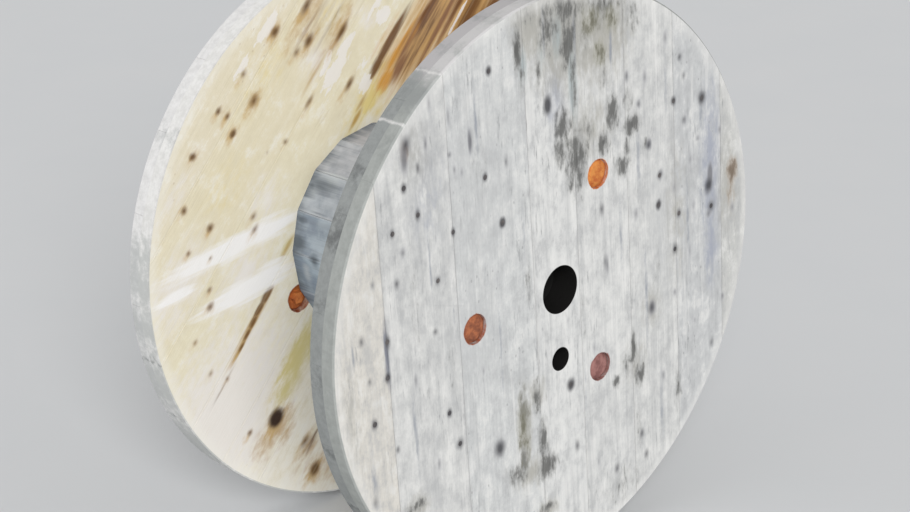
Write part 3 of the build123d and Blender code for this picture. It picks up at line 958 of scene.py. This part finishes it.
# Painted shade in the corners where the barrel meets the flanges, and dark blotches of dirt on the
# staves
STAVE_SHADE_AND_DIRT = [(side * 206, angle, 46, 66, 0.85) for side in (-1, 1) for angle in range(0, 360, 18)]
STAVE_SHADE_AND_DIRT += [
    (-172, 142, 70, 22, 0.8), (-172, 129, 50, 18, 0.4), (-190, 143, 26, 18, 0.9),
    (-188, 162, 24, 16, 0.8), (-188, 174, 30, 24, 1.15), (-143, 181, 18, 18, 1.0),
    (-150, 156, 40, 6, 0.5), (60, 40, 70, 10, 0.8), (-40, 300, 90, 12, 0.7), (90, 230, 50, 14, 0.8),
    (-90, 20, 60, 10, 0.7), (20, 95, 80, 9, 0.7),
]
STAVE_PALE = [
    (-132, 134.6, 64, 5, 1.2), (-168, 189, 16, 36, 0.6), (40, 250, 120, 5, 0.9), (-60, 70, 120, 5, 0.9),
]


def marks_on_stave(middle, marks):
    """The marks near one stave, with their angles turned to millimetres across it."""
    found = []
    for x, angle, *size in marks:
        turn = (angle - middle + 180) % 360 - 180
        if abs(turn) < STAVE_VIEW:
            found.append((x, STAVE_FACE * math.tan(math.radians(turn)), *size))
    return found


print(len(STAVE_SHADE_AND_DIRT) + len(STAVE_PALE), "marks on the staves")

# %% The stave material
# Painted highlight: how far from a stave's middle its edges start to be painted paler
STAVE_EDGE = (0.0365, 0.04)


def stave_material(number, seed):
    """Blue-grey bare wood. Painted light makes it a little warmer and paler towards the top of the
    barrel, and a painted highlight runs along each stave's edges.
    """
    chance = random.Random(seed)
    shader = Shader(f"stave_wood_{number:02d}")
    middle = FIRST_STAVE_EDGE + (number - 0.5) * STAVE_PITCH
    parts = shader.node("ShaderNodeSeparateXYZ", Vector=board_coordinates(shader, middle))
    axial, outward, sideways = parts.outputs
    place = shader.node("ShaderNodeCombineXYZ", X=outward, Y=axial, Z=sideways).outputs[0]
    from_face = chance.choice((-1, 1)) * chance.uniform(0.06, 0.1)
    heart = (STAVE_FACE / 1000 + from_face, chance.uniform(-0.03, 0.03))
    rings, fibre, streaks = wood_grain(shader, place, seed, heart)

    # Painted light: the colours are paler and warmer towards the top of the barrel, where light falls
    # from above. The staves under the barrel are made paler too.
    top = max(0.0, math.sin(math.radians(middle)))
    under = max(0.0, -math.sin(math.radians(middle)))
    lift = chance.uniform(-5, 5) + 26 * under
    plain = (164 + 26 * top + lift, 178 + 12 * top + lift, 190 + 5 * top + lift)
    dark = (116 + 34 * top + 20 * under, 130 + 24 * top + 20 * under, 147 + 15 * top + 20 * under)
    pale = (188 + 14 * top, 198 + 8 * top, 204 + 4 * top)
    moved = shader.vector("ADD", place, (seed * 0.3, 0.0, 0.0))
    blotch = shader.noise(moved, 14.0, 4.0, 0.6)
    finish = shader.stain(colour(*plain), blotch, (0.43, 0.64), 0.75, dark)
    finish = shader.stain(finish, blotch, (0.46, 0.3), 0.6, pale)
    finish = shader.stain(finish, streaks, (0.45, 0.72), 0.35, (120, 126, 136))
    finish = shader.ring_lines(finish, rings, 3.0, 0.12, (110, 114, 122))
    # Painted highlight along the stave's edges, stronger towards the top of the barrel
    stave_edge_highlight = shader.scale(blotch, 0.006, shader.math("ABSOLUTE", sideways))
    finish = shader.stain(finish, stave_edge_highlight, STAVE_EDGE, 0.25 + 0.4 * top, (204, 205, 208))
    # Painted shade in the corners and dirt blotches, then the pale marks
    for marks, tint in ((STAVE_SHADE_AND_DIRT, (92, 100, 108)), (STAVE_PALE, (190, 195, 199))):
        mask = marks_mask(shader, place, 0, marks_on_stave(middle, marks))
        finish = soft_layer(shader, finish, mask, streaks, tint)
    finish = shader.stain(finish, fibre, (0.52, 0.74), 0.3, (116, 120, 128))
    height = shader.scale(streaks, 0.6, shader.scale(fibre, 0.5))
    return shader.complete(finish, fibre, (0.65, 0.88), height, (0.4, 0.0015), 0.25)


for number in range(1, 17):
    dress(f"stave_{number:02d}", stave_material(number, 500 + number))
print("16 staves dressed")

# %% [markdown]
# ## Formers and rusty fasteners
#
# The formers sit inside the barrel, out of the weather, so their wood is still warm in colour.
# The bolt heads are bare steel that has rusted at different rates: one is bright orange, one
# dark brown and one dusty. Rust is matt and grainy, with darker pits.

# %% The former material


def former_material():
    """Plain sawn wood, with painted shade making its bore as black as those of the flanges."""
    shader = Shader("former_wood")
    place = board_coordinates(shader, 0)
    rings, fibre, streaks = wood_grain(shader, place, 600, (0.16, 0.02))
    finish = shader.stain(colour(186, 160, 124), streaks, (0.4, 0.7), 1.0, (148, 122, 88))
    finish = shader.ring_lines(finish, rings, 2.0, 0.4, (132, 100, 66))
    finish = shader.stain(finish, fibre, (0.5, 0.72), 0.5, (120, 96, 68))
    # Painted shade: the bore's wall is painted near black
    edge = (ARBOR_RADIUS + 0.0015, ARBOR_RADIUS + 0.0003)
    finish = shader.stain(finish, from_point(shader, place), edge, 1.0, HOLE_SHADE)
    return shader.complete(finish, fibre, (0.65, 0.85), streaks, (0.4, 0.001))


former_finish = former_material()
for name in ("near_former", "far_former"):
    dress(name, former_finish)
print("2 formers dressed")

# %% [markdown]
# ## Rust of several ages
#
# One network serves every bolt, washer and nut. The three bolts of a flange stand at three
# heights, so the height picks the age of the rust. The far flange's fasteners are brighter.

# %% The rust material


def rust_material():
    """Rust whose age follows the height, so that one material serves every fastener."""
    shader = Shader("rusty_steel")
    place = board_coordinates(shader, 0)
    coarse = shader.noise(place, 70.0, 4.0, 0.6)
    fine = shader.noise(place, 500.0, 3.0, 0.7)
    height = shader.axis(place, "Z")
    plain = by_height(shader, height, (176, 104, 66), (214, 138, 66), (156, 110, 104))
    dark = by_height(shader, height, (126, 72, 50), (184, 98, 44), (124, 82, 78))
    patches = shader.stretch(coarse, 0.38, 0.64)
    finish = shader.mix(patches, plain, dark)
    bright = shader.mix(patches, colour(216, 130, 66), colour(184, 102, 52))
    on_far_side = shader.stretch(shader.axis(place, "X"), 0.0, -0.01)
    finish = shader.mix(on_far_side, finish, bright)
    finish = shader.stain(finish, fine, (0.58, 0.8), 0.4, (92, 58, 46))
    relief = shader.math("ADD", coarse, fine)
    return shader.complete(finish, coarse, (0.7, 0.95), relief, (0.5, 0.001))


rust = rust_material()
for flange in ("near", "far"):
    for kind in ("bolts", "washers", "nuts"):
        dress(f"{flange}_{kind}", rust)
print("6 sets of fasteners dressed")

# %% [markdown]
# ## Nail heads
#
# The boards are nailed together, and the roundest dark marks are the nails' heads. A nail head is
# a small disc, driven almost flush, with a slightly raised shoulder. It is built up from four rings
# of points, which costs few faces and still catches the light. All the heads of a flange are one
# piece, because nobody picks them up one by one.

# %% The shape of a nail head
HEAD_RADII = (0.0038, 0.0045)
HEAD_SIDES = 14

# From the foot to the middle: the height of each ring above the wood, and its inset from the rim
HEAD_RINGS = ((-0.0006, 0.0), (0.0001, 0.0), (0.00025, 0.0007), (0.00015, 0.0019))


def add_piece(name, shape, material):
    """Turns a finished bmesh into an object with one material."""
    mesh = bpy.data.meshes.new(name)
    shape.to_mesh(mesh)
    shape.free()
    mesh.materials.append(material)
    piece = bpy.data.objects.new(name, mesh)
    bpy.context.scene.collection.objects.link(piece)
    return piece


def add_nail_head(shape, face_x, facing, y, z, radius):
    """One flat round head on a flange face, its rim just above the wood."""
    rings = []
    for height, inset in HEAD_RINGS:
        reach = radius - inset / math.cos(math.pi / HEAD_SIDES)
        corners = [polar(reach, 360 * side / HEAD_SIDES) for side in range(HEAD_SIDES)]
        x = face_x + facing * height
        rings.append([shape.verts.new((x, y + a, AXIS_HEIGHT + z + b)) for a, b in corners])
    for lower, upper in zip(rings, rings[1:]):
        for side in range(HEAD_SIDES):
            shape.faces.new((lower[side - 1], lower[side], upper[side], upper[side - 1]))
    for end in (rings[0], rings[-1]):
        shape.faces.new(end)


print("a head has", len(HEAD_RINGS), "rings of", HEAD_SIDES, "points")

# %% All the nail heads


def nail_material():
    """Old iron nails, nearly black, with a breath of rust."""
    shader = Shader("nail_iron")
    place = board_coordinates(shader, 0)
    coarse = shader.noise(place, 30.0)
    fine = shader.noise(place, 900.0, 3.0, 0.7)
    finish = shader.stain(colour(74, 72, 74), coarse, (0.4, 0.62), 1.0, (104, 99, 97))
    finish = shader.stain(finish, fine, (0.45, 0.7), 0.5, (58, 54, 54))
    return shader.complete(finish, fine, (0.6, 0.85), fine, (0.4, 0.0004))


def nail_heads(name, face_x, facing, marks):
    """All the nail heads of one face as one piece."""
    chance = random.Random(name)
    shape = bmesh.new()
    for y, z, *_ in marks:
        radius = chance.uniform(*HEAD_RADII)
        add_nail_head(shape, face_x, facing, y / 1000, z / 1000, radius)
    bmesh.ops.recalc_face_normals(shape, faces=shape.faces)
    piece = add_piece(name, shape, nail_finish)
    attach(piece, "root")
    print(name, len(marks), "nails,", len(piece.data.polygons), "faces")


nail_finish = nail_material()
ROUND_SPOTS = [mark for mark in NEAR_SPOTS if mark[2] <= 15 and mark[4] >= 0.7]
nail_heads("near_nail_heads", OUTER_FACE, 1, ROUND_SPOTS)
nail_heads("far_nail_heads", -OUTER_FACE, -1, FAR_OUTER_NAILS)

# %% [markdown]
# ## The floor
#
# A plain pale floor keeps the eye on the drum and catches its shadow. It is a large disc, so
# that no edge of it comes into the picture, with a paper-like mottle too faint to notice.

# %% Floor
floor_shader = Shader("floor_paper")
floor_place = floor_shader.node("ShaderNodeTexCoord").outputs["Object"]
mottle = floor_shader.noise(floor_place, 3.0, 3.0)
paper = floor_shader.mix(mottle, colour(212, 214, 216), colour(216, 217, 218))
paper_surface = floor_shader.tree.nodes["Principled BSDF"].inputs
floor_shader.give(paper_surface["Base Color"], paper)
floor_shader.give(paper_surface["Roughness"], 0.9)

shape = bmesh.new()
bmesh.ops.create_circle(shape, cap_ends=True, segments=64, radius=30)
floor = add_piece("floor", shape, floor_shader.material)
print("floor", [round(v) for v in floor.dimensions], "m")

# %% [markdown]
# ## Light
#
# One sun lamp with a wide angle is as soft as a large window. An even white sky fills the
# shadows. Together they light the drum at a level where a colour looks the way it was written.

# %% Lights
key_light = bpy.data.lights.new("key", "SUN")
key_light.energy = 2.3
key_light.angle = math.radians(30)
key = bpy.data.objects.new("key", key_light)
key.rotation_mode = "QUATERNION"
key.rotation_quaternion = Vector((0.75, -0.6, 0.5)).to_track_quat("Z", "Y")
bpy.context.scene.collection.objects.link(key)

world = bpy.data.worlds.new("sky")
world.use_nodes = True
sky = world.node_tree.nodes["Background"]
sky.inputs["Color"].default_value = (1.0, 1.0, 1.0, 1.0)
sky.inputs["Strength"].default_value = 0.52
bpy.context.scene.world = world
bpy.context.scene.view_settings.view_transform = "Standard"
print("lights set")
